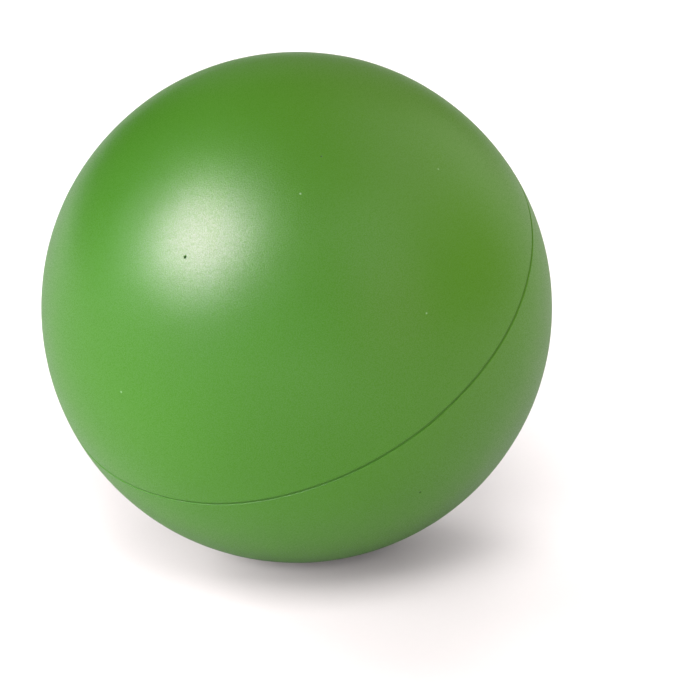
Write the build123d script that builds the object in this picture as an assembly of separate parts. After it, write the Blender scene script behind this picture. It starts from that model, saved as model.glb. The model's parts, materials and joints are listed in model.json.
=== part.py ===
from build123d import *

import os
from math import cos, radians, sin

# A soft stress ball, in millimetres and degrees. It is made in a mould of two cups: a coloured
# coat is sprayed into each cup, the mould is closed, and foam is poured in and rises. The core
# comes out bonded to the two coats, which meet at a narrow seam with a thin bead of flash in it.
# The origin is the middle of the ball and +Z is up as it lies at rest.

# Driving dimensions
ball_diameter = 63.0
coat_thickness = 0.4
seam_width = 0.36        # between the two coats, round the seam
seam_depth = 0.16        # from the outside of the ball down to the trimmed flash
lip_radius = 0.12        # rounded outer edge of each coat at the seam
parting_height = 1.1     # the parting plane is this far up the mould's axis from the middle
mould_lean = 34.7        # the mould's axis leans this far from straight up
mould_heading = 229.8    # the way it leans, anticlockwise from +X seen from above

# Sizes that follow from them
ball_radius = ball_diameter / 2
core_radius = ball_radius - coat_thickness
flash_radius = ball_radius - seam_depth
upper_edge = parting_height + seam_width / 2
lower_edge = parting_height - seam_width / 2


def half_plane(height, way):
    """The area right of the mould's axis that is above a height (way 1) or below it (way -1)."""
    size = ball_diameter
    return Pos(size / 2, height + way * size / 2) * Rectangle(size, size)


def turned(section):
    """The solid that a half-section makes when it turns about the mould's axis."""
    return revolve(Plane.XZ * section, axis=Axis.Z)


def coat(edge, way):
    """One half of the hollow ball, with a rounded lip at the seam."""
    section = (Circle(ball_radius) - Circle(core_radius)) & half_plane(edge, way)
    outer_corner = section.vertices().sort_by(Axis.X)[-1]
    return turned(fillet(outer_corner, radius=lip_radius))


def flash():
    """The bead that closes the seam: a ring as wide as the seam, shallower than the coats."""
    ring = Circle(flash_radius) - Circle(core_radius)
    return turned(ring & half_plane(lower_edge, 1) & half_plane(upper_edge, -1))


def as_it_rests(shape):
    """Turns a shape made along the mould's axis to the way the ball lies."""
    lean = radians(mould_lean)
    heading = radians(mould_heading)
    axis = (sin(lean) * cos(heading), sin(lean) * sin(heading), cos(lean))
    return Plane(origin=(0, 0, 0), z_dir=axis).location * shape


pieces = {
    "foam_core": Sphere(core_radius),
    "upper_coat": coat(upper_edge, 1),
    "lower_coat": coat(lower_edge, -1),
    "parting_flash": flash(),
}

os.makedirs("parts", exist_ok=True)
for name, piece in pieces.items():
    export_step(as_it_rests(piece), f"parts/{name}.step")
    print(name, round(piece.volume, 2), "mm3")
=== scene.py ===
import json
from math import acos, atan2, cos, exp, pi, radians, sin, sqrt

import bmesh
import bpy
from mathutils import Matrix, Vector, noise


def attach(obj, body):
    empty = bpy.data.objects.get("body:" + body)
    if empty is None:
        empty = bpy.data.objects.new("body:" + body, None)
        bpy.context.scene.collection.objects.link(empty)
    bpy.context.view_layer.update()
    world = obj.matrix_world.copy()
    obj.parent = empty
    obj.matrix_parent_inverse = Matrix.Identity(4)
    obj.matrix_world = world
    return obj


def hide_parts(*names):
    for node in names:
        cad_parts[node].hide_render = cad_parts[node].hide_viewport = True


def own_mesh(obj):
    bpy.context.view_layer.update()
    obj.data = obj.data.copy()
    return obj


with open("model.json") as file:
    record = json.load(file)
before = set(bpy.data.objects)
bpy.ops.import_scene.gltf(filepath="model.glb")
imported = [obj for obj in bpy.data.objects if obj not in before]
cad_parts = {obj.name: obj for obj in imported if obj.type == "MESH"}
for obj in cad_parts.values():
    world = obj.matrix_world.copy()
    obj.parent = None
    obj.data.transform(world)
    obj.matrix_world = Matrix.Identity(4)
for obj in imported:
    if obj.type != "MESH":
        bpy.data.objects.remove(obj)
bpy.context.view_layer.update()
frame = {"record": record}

# The foam core. The real one is a ball of flexible polyurethane foam that rises and sets inside
# the closed mould. Its outside is a skin of small flattened cells, with a low ridge round it where
# the two cups of the mould met. It takes the whole of a squeeze and pushes back.
mm = 0.001
mounts = {mount["name"]: mount for mount in frame["record"]["mounts"]}
rest_point = Vector(mounts["rest_point"]["pos_m"])
palm_contact = Vector(mounts["palm_contact"]["pos_m"])
ball_radius = palm_contact.length

coat_thickness = 0.4 * mm
core_radius = ball_radius - coat_thickness
mould_lean = radians(34.7)
mould_heading = radians(229.8)
parting_height = 1.1 * mm
mould_axis = Vector((
    sin(mould_lean) * cos(mould_heading), sin(mould_lean) * sin(mould_heading), cos(mould_lean)
))
as_it_rests = Vector((0, 0, 1)).rotation_difference(mould_axis).to_matrix().to_4x4()


def arc(radius, start, end, steps, crowding=1.0):
    """Points round the ball's middle, by their angle from the mould's axis, closer near the end."""
    points = []
    for step in range(steps + 1):
        angle = end + (start - end) * (1 - step / steps) ** crowding
        points.append((radius * sin(angle), radius * cos(angle)))
    return points


def spin_about_the_mould(outline, steps, closed=False):
    """Turns an outline, as (distance from the axis, height up it), into a solid of revolution."""
    shape = bmesh.new()
    corners = [shape.verts.new((across, 0, up)) for across, up in outline]
    following = corners[1:] + corners[:1] if closed else corners[1:]
    sides = [shape.edges.new(pair) for pair in zip(corners, following)]
    bmesh.ops.spin(
        shape, geom=corners + sides, cent=(0, 0, 0), axis=(0, 0, 1), dvec=(0, 0, 0),
        angle=2 * pi, space=Matrix.Identity(4), steps=steps,
        use_merge=True, use_duplicate=False, use_normal_flip=False,
    )
    bmesh.ops.remove_doubles(shape, verts=shape.verts, dist=0.0002 * mm)
    bmesh.ops.recalc_face_normals(shape, faces=shape.faces)
    return shape


broad_swell = 0.05 * mm
fine_swell = 0.012 * mm


def unevenness(direction):
    """How far the moulded surface stands out from a true ball, in one direction from its middle."""
    broad = noise.noise(direction * 2.1 + Vector((3.7, 0, 0)))
    fine = noise.noise(direction * 6.5 + Vector((0, 9.1, 0)))
    return broad_swell * broad + fine_swell * fine


def lay_at_rest(shape):
    """Gives a piece the moulding's unevenness and turns it to the way the ball lies."""
    bmesh.ops.transform(shape, matrix=as_it_rests, verts=shape.verts)
    for corner in shape.verts:
        corner.co *= 1 + unevenness(corner.co.normalized()) / ball_radius


def finished_piece(name, shape, material, crease=radians(38)):
    """The object for a finished shape, smooth except at creases sharper than the angle."""
    mesh = bpy.data.meshes.new(name)
    shape.to_mesh(mesh)
    shape.free()
    mesh.shade_smooth()
    mesh.set_sharp_from_angle(angle=crease)
    mesh.materials.append(material)
    piece = bpy.data.objects.new(name, mesh)
    bpy.context.scene.collection.objects.link(piece)
    return piece


def new_material(name):
    """A new material, and the tree and the shader inside it."""
    material = bpy.data.materials.new(name)
    material.use_nodes = True
    return material, material.node_tree, material.node_tree.nodes["Principled BSDF"]


def add(tree, kind, **settings):
    """A node of one kind. Settings are its properties or, with spaces for underscores, its inputs."""
    node = tree.nodes.new(kind)
    for name, value in settings.items():
        if hasattr(node, name):
            setattr(node, name, value)
        else:
            node.inputs[name.replace("_", " ")].default_value = value
    return node


def maths(tree, operation, first, second):
    """A sum on two values, each an output of a node or a plain number. Gives its own output."""
    node = add(tree, "ShaderNodeMath", operation=operation)
    for socket, value in zip(node.inputs, (first, second)):
        if isinstance(value, (int, float)):
            socket.default_value = value
        else:
            tree.links.new(value, socket)
    return node.outputs[0]


def blended(tree, share, first, second):
    """A mix of two colours, each an output of a node or a plain colour. Gives its own output."""
    node = add(tree, "ShaderNodeMix", data_type="RGBA")
    tree.links.new(share, node.inputs[0])
    for socket, value in ((node.inputs[6], first), (node.inputs[7], second)):
        if isinstance(value, tuple):
            socket.default_value = value
        else:
            tree.links.new(value, socket)
    return node.outputs[2]


def effect_group(name, inputs, output):
    """A node group for an effect on the surface, with its ends, ready for the nodes between."""
    group = bpy.data.node_groups.new(name, "ShaderNodeTree")
    group.interface.new_socket(name="Vector", in_out="INPUT", socket_type="NodeSocketVector")
    for label, value in inputs.items():
        socket = group.interface.new_socket(name=label, in_out="INPUT", socket_type="NodeSocketFloat")
        socket.default_value = value
    group.interface.new_socket(name=output, in_out="OUTPUT", socket_type="NodeSocketFloat")
    return group, group.nodes.new("NodeGroupInput"), group.nodes.new("NodeGroupOutput")


def placed(tree, group, vector, **values):
    """A group in a material, reading the piece's own coordinates."""
    node = tree.nodes.new("ShaderNodeGroup")
    node.node_tree = group
    tree.links.new(vector, node.inputs["Vector"])
    for name, value in values.items():
        node.inputs[name].default_value = value
    return node.outputs[0]


# Dye clouding: foam and lacquer never take their colour quite evenly, so it drifts over the ball.
dye_clouding, ends_in, ends_out = effect_group("dye_clouding", {"Size": 14 * mm}, "Cloud")
cloud_noise = add(dye_clouding, "ShaderNodeTexNoise", Detail=3.0, Roughness=0.55)
dye_clouding.links.new(ends_in.outputs["Vector"], cloud_noise.inputs["Vector"])
dye_clouding.links.new(
    maths(dye_clouding, "DIVIDE", 1.0, ends_in.outputs["Size"]), cloud_noise.inputs["Scale"]
)
dye_clouding.links.new(cloud_noise.outputs["Fac"], ends_out.inputs["Cloud"])

# Moulded grain: the wall of the mould and the release wax leave low rounded pebbles, with finer ones
# between them. The foam shows it weakly and the lacquer plainly.
moulded_grain, ends_in, ends_out = effect_group("moulded_grain", {"Pitch": 0.4 * mm}, "Height")
grain_scale = maths(moulded_grain, "DIVIDE", 1.0, ends_in.outputs["Pitch"])
pebbles = add(moulded_grain, "ShaderNodeTexVoronoi", feature="SMOOTH_F1", Smoothness=0.6)
fine_grain = add(moulded_grain, "ShaderNodeTexNoise", Detail=2.0, Roughness=0.6)
finer_scale = maths(moulded_grain, "MULTIPLY", grain_scale, 1.7)
for texture, scale in ((pebbles, grain_scale), (fine_grain, finer_scale)):
    moulded_grain.links.new(ends_in.outputs["Vector"], texture.inputs["Vector"])
    moulded_grain.links.new(scale, texture.inputs["Scale"])
moulded_grain.links.new(
    maths(moulded_grain, "SUBTRACT", fine_grain.outputs["Fac"], pebbles.outputs["Distance"]),
    ends_out.inputs["Height"],
)

cell_pitch = 0.9 * mm
cell_dimple = 0.05 * mm
wall_share = 0.4
ridge_height = 0.12 * mm
ridge_width = 0.5 * mm

core_shape = spin_about_the_mould(arc(core_radius, 0, pi, 200), steps=300)
for corner in core_shape.verts:
    near, far = noise.voronoi(corner.co / cell_pitch)[0][:2]
    wall = min(1.0, (far - near) / wall_share)
    ridge = exp(-((corner.co.z - parting_height) / ridge_width) ** 2)
    corner.co *= 1 - (cell_dimple * wall + ridge_height * (1 - ridge)) / core_radius
lay_at_rest(core_shape)

foam_shade = (0.48, 0.58, 0.31, 1)
foam_tint = (0.64, 0.73, 0.47, 1)
painted_pore_shade = (0.36, 0.46, 0.20, 1)
pore_pitch = 0.35 * mm
foam_roughness = 0.8

foam, tree, shader = new_material("flexible_foam")
here = add(tree, "ShaderNodeTexCoord").outputs["Object"]
cloud = placed(tree, dye_clouding, here, Size=9 * mm)
cells = add(tree, "ShaderNodeTexVoronoi", feature="DISTANCE_TO_EDGE", Scale=1 / pore_pitch)
tree.links.new(here, cells.inputs["Vector"])
# The pores are painted darker: painted shade down in the open cells of the foam.
pores = maths(tree, "LESS_THAN", cells.outputs["Distance"], 0.06)
skin_colour = blended(tree, cloud, foam_shade, foam_tint)
tree.links.new(blended(tree, pores, skin_colour, painted_pore_shade), shader.inputs["Base Color"])
grain = placed(tree, moulded_grain, here, Pitch=0.5 * mm)
bump = add(tree, "ShaderNodeBump", Strength=0.6, Distance=0.05 * mm)
tree.links.new(maths(tree, "ADD", cells.outputs["Distance"], grain), bump.inputs["Height"])
tree.links.new(bump.outputs["Normal"], shader.inputs["Normal"])
tree.links.new(
    maths(tree, "ADD", maths(tree, "MULTIPLY", cloud, 0.2), foam_roughness), shader.inputs["Roughness"]
)

foam_core = finished_piece("foam_core_moulded", core_shape, foam)
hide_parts("foam_core")
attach(foam_core, "resting_side")
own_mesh(foam_core)

# The two coats. Each is an elastic lacquer, about 0.4 mm with the foam skin that sets into it,
# sprayed into one cup of the mould before the foam is poured. They meet at the parting line, where
# each edge is rounded and stands a hair proud. The upper one moves with the palm that presses it.
seam_width = 0.36 * mm
lip_radius = 0.10 * mm
lip_rise = 0.004 * mm
lip_rise_width = 0.6 * mm
seam_wander = 0.10 * mm
seam_ripple = 0.035 * mm
wander_reach = 4.0 * mm
outside_steps = 120
lip_steps = 6
inside_steps = 48
round_steps = 320


def seam_drift(corner, side):
    """How far up the mould's axis the seam runs from its plane there, on one side of the gap."""
    round_the_ball = Vector((corner.x, corner.y, 0)).normalized()
    wander = noise.noise(round_the_ball * 2.3 + Vector((0, 0, 4.2)))
    ripple = noise.noise(round_the_ball * 34 + Vector((0, 0, 7.7 * side)))
    return seam_wander * wander + seam_ripple * ripple


def follow_the_seam(shape, side_of):
    """Lets the edges near the parting plane wander with the seam, without leaving the ball."""
    faded_out = 3
    for corner in shape.verts:
        distance = (corner.co.z - parting_height) / wander_reach
        if abs(distance) < faded_out:
            reach = corner.co.length
            corner.co.z += seam_drift(corner.co, side_of(corner.co)) * exp(-distance ** 2)
            corner.co *= reach / corner.co.length


def coat_shape(side):
    """One coat as a closed shell: outside, rounded lip, edge and inside, above or below the seam."""
    edge = parting_height + side * seam_width / 2
    lip_up = edge + side * lip_radius
    lip_out = sqrt((ball_radius - lip_radius) ** 2 - lip_up ** 2)
    pole = 0 if side > 0 else pi
    lip_angle = atan2(lip_out, lip_up)
    outline = arc(ball_radius, pole, lip_angle, outside_steps, crowding=1.5)
    for step in range(1, lip_steps + 1):
        turn = lip_angle + (pi * (side > 0) - lip_angle) * step / lip_steps
        outline.append((lip_out + lip_radius * sin(turn), lip_up + lip_radius * cos(turn)))
    inner_angle = acos(edge / core_radius)
    outline += arc(core_radius, inner_angle, pole, inside_steps)
    outline[0] = (0, outline[0][1])
    outline[-1] = (0, outline[-1][1])
    shape = spin_about_the_mould(outline, steps=round_steps)
    shape.verts.layers.float.new("fleck")
    for corner in shape.verts:
        if corner.co.length > core_radius + coat_thickness / 2:
            from_lip = (corner.co.z - lip_up) / lip_rise_width
            corner.co *= 1 + lip_rise * exp(-from_lip ** 2) / ball_radius
    follow_the_seam(shape, lambda corner: side)
    lay_at_rest(shape)
    return shape


def fleck(shape, direction, width, depth):
    """A pinhole in the outside of a coat or, if depth is negative, a nib of dust under it."""
    centre = Vector(direction).normalized()
    tint = shape.verts.layers.float["fleck"]
    finer_mesh_reach = 1.6 * width + 0.3 * mm
    fleck_reach = 2 * width + 1.2 * mm
    facing_out = 0.9
    finer_cuts = 7

    def from_centre(point):
        return point.normalized().angle(centre) * ball_radius

    near = [
        face for face in shape.faces
        if face.normal.dot(centre) > facing_out
        and from_centre(face.calc_center_median()) < finer_mesh_reach
    ]
    if not near:
        return
    edges = list(dict.fromkeys(edge for face in near for edge in face.edges))
    bmesh.ops.subdivide_edges(shape, edges=edges, cuts=finer_cuts, use_grid_fill=True)
    many_sided = [face for face in shape.faces if len(face.verts) > 4]
    bmesh.ops.triangulate(shape, faces=many_sided)
    for corner in shape.verts:
        on_the_inside = corner.co.length < core_radius + coat_thickness / 2
        if on_the_inside or from_centre(corner.co) > fleck_reach:
            continue
        away = from_centre(corner.co) / (width / 2)
        outside = ball_radius + unevenness(corner.co.normalized())
        corner.co = corner.co.normalized() * (outside - depth * exp(-away ** 4))
        # This mark paints each pinhole dark, as painted shade in the hole, and each nib pale, as a painted
        # glint.
        corner[tint] += (1 if depth > 0 else -1) * exp(-away ** 4)


upper_shape = coat_shape(1)
lower_shape = coat_shape(-1)
# Where the flecks are, as directions from the ball's middle, with their width and depth.
flecks = (
    ((-0.42, -0.77, 0.48), 0.28 * mm, 0.18 * mm),
    ((-0.67, -0.74, -0.08), 0.26 * mm, -0.04 * mm),
    ((0.02, -0.70, 0.71), 0.24 * mm, -0.03 * mm),
    ((0.50, -0.82, 0.27), 0.22 * mm, -0.03 * mm),
    ((0.10, -0.57, 0.82), 0.20 * mm, 0.05 * mm),
    ((0.55, -0.43, 0.72), 0.22 * mm, -0.03 * mm),
    ((0.48, -0.72, -0.50), 0.28 * mm, 0.08 * mm),
    ((-0.20, 0.95, 0.25), 0.34 * mm, 0.12 * mm),
    ((0.85, 0.45, 0.30), 0.24 * mm, -0.03 * mm),
    ((-0.80, 0.40, -0.45), 0.30 * mm, 0.10 * mm),
    ((0.35, 0.60, -0.72), 0.28 * mm, 0.08 * mm),
    ((0.30, 0.35, 0.89), 0.24 * mm, -0.03 * mm),
)
for direction, width, depth in flecks:
    above_the_seam = Vector(direction).normalized().dot(mould_axis) * ball_radius > parting_height
    fleck(upper_shape if above_the_seam else lower_shape, direction, width, depth)

green_shade = (0.104, 0.268, 0.020, 1)
green_tint = (0.112, 0.286, 0.024, 1)
pinhole_painted_shade = (0.010, 0.035, 0.006, 1)
dust_and_glint_green = (0.52, 0.68, 0.40, 1)
thrown_on_the_table = (0.06, 0.06, 0.05, 1)
satin = 0.33
dulled_by_handling = 0.08
polished_by_grain = -0.13
dulled_by_flecks = 0.4
wax_left = 0.30
wax_patchiness = 1.6
dust_and_glint_showing = -0.75

# The coat throws hardly any of its green on the table, so that the shadow under the ball stays grey.
green_coat, tree, shader = new_material("green_elastic_coat")
here = add(tree, "ShaderNodeTexCoord").outputs["Object"]
cloud = placed(tree, dye_clouding, here, Size=16 * mm)
handled = placed(tree, dye_clouding, here, Size=5 * mm)
grain = placed(tree, moulded_grain, here, Pitch=0.18 * mm)
green = blended(tree, cloud, green_shade, green_tint)
flecked = add(tree, "ShaderNodeAttribute", attribute_name="fleck")
# The pinholes are painted near black: painted shade down in each hole.
green = blended(tree, flecked.outputs["Fac"], green, pinhole_painted_shade)
# The nibs are painted pale: dust under the lacquer, and a painted glint on top of each.
paleness = maths(tree, "MULTIPLY", flecked.outputs["Fac"], dust_and_glint_showing)
green = blended(tree, paleness, green, dust_and_glint_green)
ray = add(tree, "ShaderNodeLightPath")
tree.links.new(
    blended(tree, ray.outputs["Is Diffuse Ray"], green, thrown_on_the_table), shader.inputs["Base Color"]
)
bump = add(tree, "ShaderNodeBump", Strength=1.0, Distance=0.009 * mm)
tree.links.new(grain, bump.inputs["Height"])
tree.links.new(bump.outputs["Normal"], shader.inputs["Normal"])
gloss = maths(tree, "ADD", maths(tree, "MULTIPLY", handled, dulled_by_handling), satin)
gloss = maths(tree, "ADD", gloss, maths(tree, "MULTIPLY", grain, polished_by_grain))
wax = placed(tree, moulded_grain, here, Pitch=0.13 * mm)
tree.links.new(
    maths(tree, "ADD", maths(tree, "MULTIPLY", wax, wax_patchiness), wax_left), shader.inputs["Coat Weight"]
)
shader.inputs["Coat Roughness"].default_value = 0.37
shader.inputs["Specular IOR Level"].default_value = 0.40
dulled = maths(
    tree, "MULTIPLY", maths(tree, "ABSOLUTE", flecked.outputs["Fac"], 0.0), dulled_by_flecks
)
tree.links.new(maths(tree, "ADD", gloss, dulled), shader.inputs["Roughness"])

upper_coat = finished_piece("upper_coat_sprayed", upper_shape, green_coat)
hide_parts("upper_coat")
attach(upper_coat, "pressed_side")
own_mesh(upper_coat)

lower_coat = finished_piece("lower_coat_sprayed", lower_shape, green_coat)
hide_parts("lower_coat")
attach(lower_coat, "resting_side")
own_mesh(lower_coat)

# The parting flash. Where the cups of the mould met, a thin web of foam and lacquer squeezes out.
# It is trimmed below the surface, which leaves a bead, a little rough, down in the seam.
# The bead is painted a darker green than the coat: painted shade in the seam.
seam_depth = 0.10 * mm
trim_roughness = 0.02 * mm
tear_pitch = 0.45 * mm
fine_tear_pitch = 0.12 * mm
flash_radius = ball_radius - seam_depth


def flash_shape():
    """A ring that fills the seam from the core up to the trimmed top."""
    low = parting_height - seam_width / 2
    top_steps = 6
    foot_steps = 2
    flash_round_steps = 900
    outline = []
    for step in range(top_steps + 1):
        height = low + seam_width * step / top_steps
        outline.append((sqrt(flash_radius ** 2 - height ** 2), height))
    for step in range(foot_steps + 1):
        height = low + seam_width * (1 - step / foot_steps)
        outline.append((sqrt(core_radius ** 2 - height ** 2), height))
    shape = spin_about_the_mould(outline, steps=flash_round_steps, closed=True)
    for corner in shape.verts:
        if corner.co.length > core_radius + coat_thickness / 4:
            torn = noise.noise(corner.co / tear_pitch) + 0.6 * noise.noise(corner.co / fine_tear_pitch)
            corner.co *= 1 + trim_roughness * torn / ball_radius
    follow_the_seam(shape, lambda corner: 1 if corner.z > parting_height else -1)
    lay_at_rest(shape)
    return shape


flash_deep_painted_shade = (0.060, 0.170, 0.012, 1)
flash_painted_shade = (0.085, 0.225, 0.018, 1)
flash_roughness = 0.45

trimmed, tree, shader = new_material("trimmed_flash")
here = add(tree, "ShaderNodeTexCoord").outputs["Object"]
cloud = placed(tree, dye_clouding, here, Size=1.2 * mm)
grain = placed(tree, moulded_grain, here, Pitch=0.15 * mm)
# Both greens of the bead are darker than the coat: painted shade, so that the seam shows as a dark line.
tree.links.new(blended(tree, cloud, flash_deep_painted_shade, flash_painted_shade), shader.inputs["Base Color"])
bump = add(tree, "ShaderNodeBump", Strength=0.8, Distance=0.01 * mm)
tree.links.new(grain, bump.inputs["Height"])
tree.links.new(bump.outputs["Normal"], shader.inputs["Normal"])
tree.links.new(
    maths(tree, "ADD", maths(tree, "MULTIPLY", cloud, 0.2), flash_roughness), shader.inputs["Roughness"]
)

parting_flash = finished_piece("parting_flash_trimmed", flash_shape(), trimmed)
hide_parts("parting_flash")
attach(parting_flash, "resting_side")
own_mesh(parting_flash)

# The table: a wide sheet of matt white paper, level under the ball. It throws back onto the ball less
# light than it shows, so that the ball keeps its depth of colour. Seen from below it is clear.
table_half_width = 3.0
paper_shade = (0.895, 0.848, 0.838, 1)
paper_tint = (0.915, 0.868, 0.858, 1)
thrown_softly_on_the_ball = (0.55, 0.62, 0.53, 1)
seen_in_the_gloss = (0.36, 0.36, 0.36, 1)

paper, tree, shader = new_material("matt_white_paper")
here = add(tree, "ShaderNodeTexCoord").outputs["Object"]
fibre = placed(tree, dye_clouding, here, Size=0.6 * mm)
sheet_colour = blended(tree, fibre, paper_shade, paper_tint)
ray = add(tree, "ShaderNodeLightPath")
thrown_back = blended(tree, ray.outputs["Is Glossy Ray"], thrown_softly_on_the_ball, seen_in_the_gloss)
tree.links.new(
    blended(tree, ray.outputs["Is Camera Ray"], thrown_back, sheet_colour), shader.inputs["Base Color"]
)
shader.inputs["Roughness"].default_value = 0.9
shader.inputs["Specular IOR Level"].default_value = 0.1
from_below = add(tree, "ShaderNodeNewGeometry").outputs["Backfacing"]
clear = add(tree, "ShaderNodeBsdfTransparent")
either = add(tree, "ShaderNodeMixShader")
tree.links.new(from_below, either.inputs[0])
tree.links.new(shader.outputs[0], either.inputs[1])
tree.links.new(clear.outputs[0], either.inputs[2])
tree.links.new(either.outputs[0], tree.nodes["Material Output"].inputs["Surface"])
sheet_shape = bmesh.new()
bmesh.ops.create_grid(sheet_shape, x_segments=8, y_segments=8, size=table_half_width)
bmesh.ops.translate(sheet_shape, vec=rest_point, verts=sheet_shape.verts)
table_top = finished_piece("table_top", sheet_shape, paper)

# The studio. One set of soft panels lights the ball alone: a bright pair up and to the left that makes
# the highlight, with dim washes and fills all round, some of them tinted. Another set lights the table
# alone, so that it stays white round a small shadow. The walls are only a plain white backdrop.
ball_pieces = bpy.data.collections.new("ball_pieces")
for piece in (foam_core, upper_coat, lower_coat, parting_flash):
    ball_pieces.objects.link(piece)
table_pieces = bpy.data.collections.new("table_pieces")
table_pieces.objects.link(table_top)

white = (1.0, 1.0, 1.0)
rosy = (0.97, 0.585, 1.0)
fresh = (0.77, 1.0, 0.77)
cool = (0.77, 1.0, 0.86)
leafy = (0.30, 1.0, 0.55)
green_tinged = (0.60, 1.0, 0.75)
warm = (1.0, 0.78, 1.0)
pale_rose = (1.0, 0.45, 0.80)


def soft_panel(name, heading, height, distance, size, power, colour, lights_up, seen_as="both"):
    """A square panel facing the ball. Heading goes from the camera's side to the right, in degrees."""
    panel = bpy.data.lights.new(name, "AREA")
    panel.shape = "SQUARE"
    panel.size = size
    panel.energy = power
    panel.color = colour
    light = bpy.data.objects.new(name, panel)
    along = cos(radians(height))
    towards = Vector((sin(radians(heading)) * along, -cos(radians(heading)) * along, sin(radians(height))))
    light.location = towards * distance
    light.rotation_euler = (-towards).to_track_quat("-Z", "Y").to_euler()
    light.light_linking.receiver_collection = lights_up
    light.visible_camera = False
    light.visible_diffuse = seen_as != "gloss"
    light.visible_glossy = seen_as != "wash"
    bpy.context.scene.collection.objects.link(light)


key_heading = -58.5
key_height = 39.7
key_distance = 0.9
soft_panel(
    "key_panel", key_heading, key_height, key_distance, 0.45, 12.4, rosy, ball_pieces, seen_as="gloss"
)
soft_panel(
    "key_surround", key_heading, key_height, key_distance, 0.60, 11.5, fresh, ball_pieces, seen_as="gloss"
)

wash_distance = 1.3
wash_size = 0.8
for name, heading, height, power, colour in (
    ("left_wash", -90, 15, 13.3, cool),
    ("front_left_wash", -45, 15, 4.5, leafy),
    ("front_wash", 0, 15, 4.8, green_tinged),
    ("right_wash", 90, 45, 5.0, warm),
    ("back_right_wash", 135, 45, 9.4, white),
):
    soft_panel(
        name, heading, height, wash_distance, wash_size, power, colour, ball_pieces, seen_as="wash"
    )
for name, heading, height, power, colour in (
    ("front_right_low_fill", 45, 15, 1.7, pale_rose),
    ("front_right_high_fill", 45, 45, 1.7, white),
    ("right_fill", 90, 45, 1.0, white),
    ("right_rim", 135, 15, 1.0, white),
    ("back_rim", 180, 15, 0.36, white),
):
    soft_panel(name, heading, height, wash_distance, wash_size, power, colour, ball_pieces)

table_light_distance = 1.2
for name, heading, height, size, power in (
    ("table_front_high", 0, 55, 0.7, 9.3),
    ("table_front_middle", 0, 40, 0.6, 1.9),
    ("table_front_low", 0, 15, 0.6, 11.4),
    ("table_front_left", -45, 15, 0.6, 7.5),
    ("table_left", -90, 15, 0.6, 6.8),
    ("table_back_left", -135, 15, 0.6, 15.4),
    ("table_back_low", 180, 15, 0.6, 6.2),
    ("table_back_high", 180, 55, 0.7, 3.8),
):
    soft_panel(name, heading, height, table_light_distance, size, power, white, table_pieces)

walls = bpy.data.worlds.new("white_walls")
walls.use_nodes = True
walls.node_tree.nodes["Background"].inputs["Color"].default_value = (1, 1, 1, 1)
walls.node_tree.nodes["Background"].inputs["Strength"].default_value = 1.0
bpy.context.scene.world = walls
walls.cycles_visibility.diffuse = False
walls.cycles_visibility.glossy = False
bpy.context.scene.view_settings.view_transform = "Standard"

# The camera: a long lens a little over a metre away, in front of the ball, that looks down on it at
# 20 degrees. The ball sits left of the middle of the picture and a little above it.
camera_elevation = radians(20)
camera_distance = 35 * ball_radius
beside_the_ball = 0.209 * ball_radius
below_the_ball = 0.167 * ball_radius
picture_width = 2.74 * ball_radius

towards_camera = Vector((0, -cos(camera_elevation), sin(camera_elevation)))
camera_up = Vector((0, sin(camera_elevation), cos(camera_elevation)))
lens = bpy.data.cameras.new("long_lens")
lens.sensor_width = 36
lens.lens = lens.sensor_width * camera_distance / picture_width
lens.clip_start = 0.05
lens.clip_end = 20
camera = bpy.data.objects.new("camera", lens)
aim = Vector((beside_the_ball, 0, 0)) - camera_up * below_the_ball
camera.location = aim + towards_camera * camera_distance
camera.rotation_euler = (-towards_camera).to_track_quat("-Z", "Y").to_euler()
bpy.context.scene.collection.objects.link(camera)
bpy.context.scene.camera = camera
